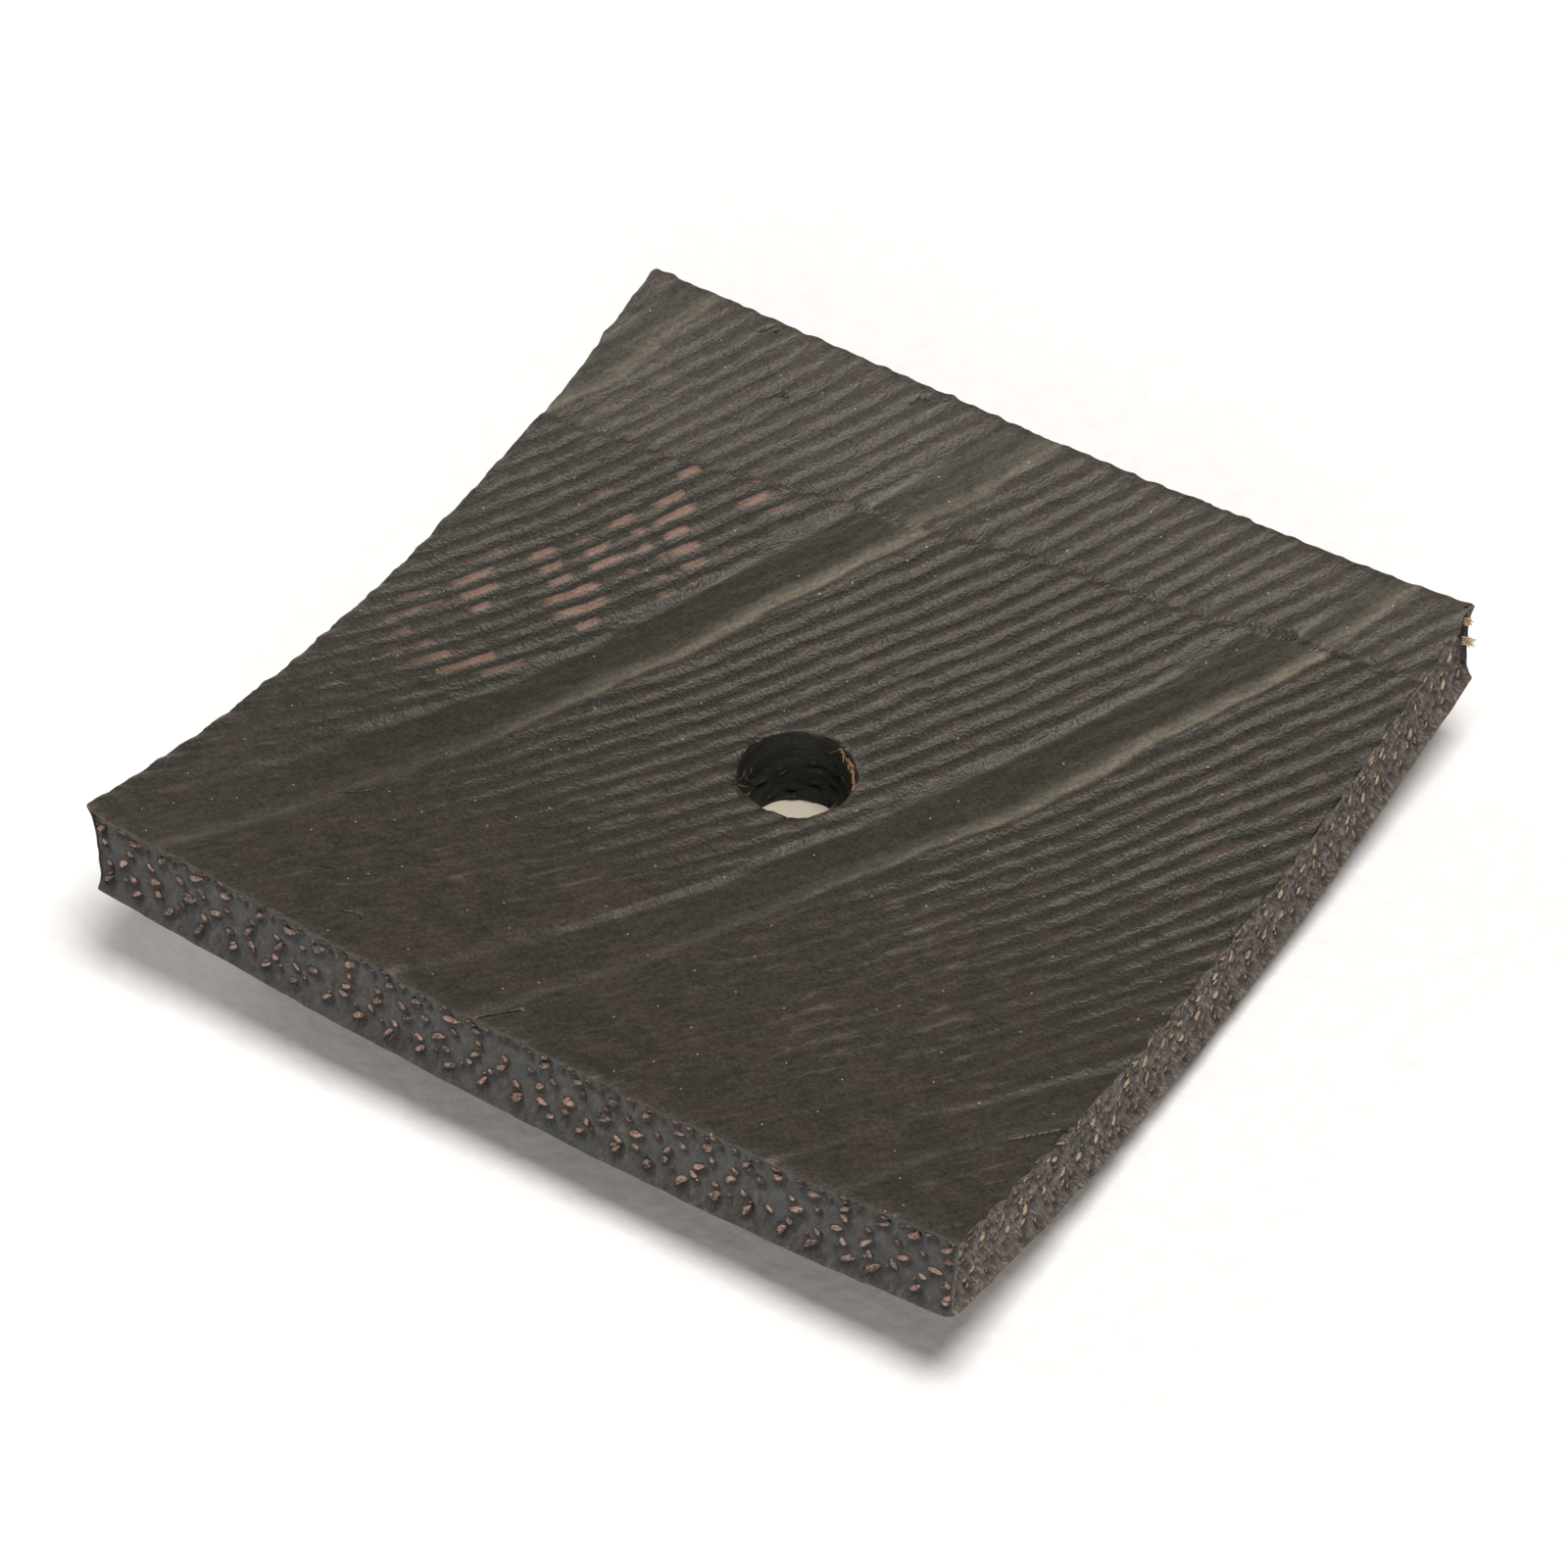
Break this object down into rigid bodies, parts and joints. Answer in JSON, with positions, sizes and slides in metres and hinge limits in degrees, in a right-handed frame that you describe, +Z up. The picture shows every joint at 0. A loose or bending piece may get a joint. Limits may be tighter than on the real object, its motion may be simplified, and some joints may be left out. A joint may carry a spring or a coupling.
{
  "type": "body mount pad",
  "caption": "Square curled pad of ribbed, cord-reinforced rubber sheet with a punched bolt hole, packed between a vehicle body and its frame.",
  "frame": {"origin": "on the axis of the bolt hole, at the underside of the pad", "axes": "+Z up, along the bolt hole and out of the ribbed top; +X to the right and +Y to the back, along the cut edges"},
  "size_m": [0.1024, 0.1039, 0.0187],
  "materials": {
    "casing_rubber": "matt ribbed casing rubber with textile cord ends on its cut faces"
  },
  "bodies": {
    "root": {"mount_pad": "casing_rubber"}
  },
  "joints": []
}
